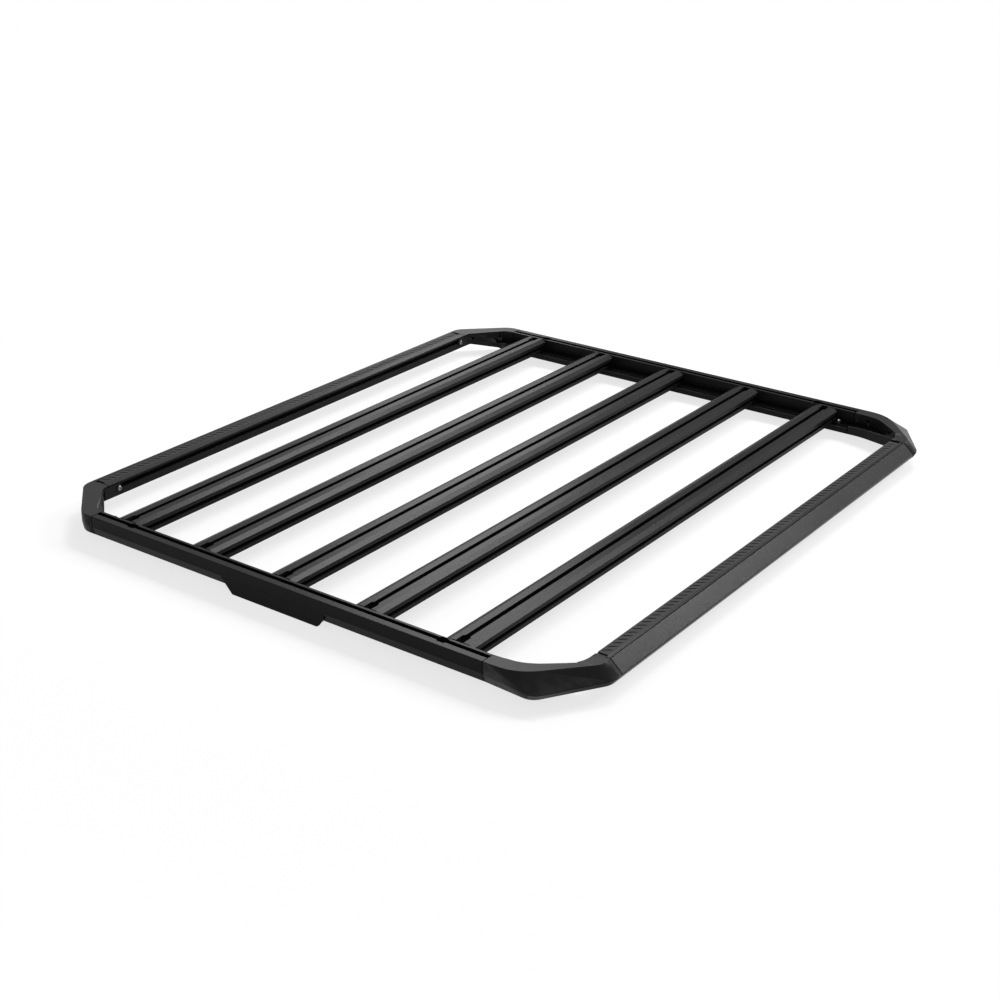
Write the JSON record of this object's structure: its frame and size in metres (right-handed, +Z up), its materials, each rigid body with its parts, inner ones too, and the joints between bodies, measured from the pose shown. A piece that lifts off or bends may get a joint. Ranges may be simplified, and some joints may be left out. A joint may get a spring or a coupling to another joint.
{
  "type": "low-profile roof platform rack",
  "caption": "Flat black roof rack platform: slotted side rails and cross slats in a frame with cast bevelled corners, a sloped front fairing and ribbed treads.",
  "frame": {"origin": "centre of the bounding box in plan, at the height of the name plate's lower edge, which is the lowest point", "axes": "-Y is the front of the vehicle, X runs across it along the slats, +Z is up"},
  "size_m": [1.5188, 1.33, 0.0564],
  "materials": {
    "extrusion": "satin black powder coat",
    "casting": "fine-textured black powder coat",
    "tread": "matte black rubber with slanted grip cuts",
    "clamp": "black zinc",
    "plate": "satin black powder coat, bare of lettering"
  },
  "bodies": {
    "root": {"rail_left": "extrusion", "rail_right": "extrusion", "slat_1": "extrusion", "slat_2": "extrusion", "slat_3": "extrusion", "slat_4": "extrusion", "slat_5": "extrusion", "corner_front_left": "casting", "corner_front_right": "casting", "corner_rear_left": "casting", "corner_rear_right": "casting", "fairing_front": "extrusion", "fairing_rear": "extrusion", "tread_front": "tread", "tread_rear": "tread", "joint_front_left": "casting", "joint_front_right": "casting", "joint_rear_left": "casting", "joint_rear_right": "casting", "clamp_1_left": "clamp", "clamp_2_left": "clamp", "clamp_3_left": "clamp", "clamp_4_left": "clamp", "clamp_5_left": "clamp", "clamp_1_right": "clamp", "clamp_2_right": "clamp", "clamp_3_right": "clamp", "clamp_4_right": "clamp", "clamp_5_right": "clamp", "name_plate": "plate"}
  },
  "joints": []
}
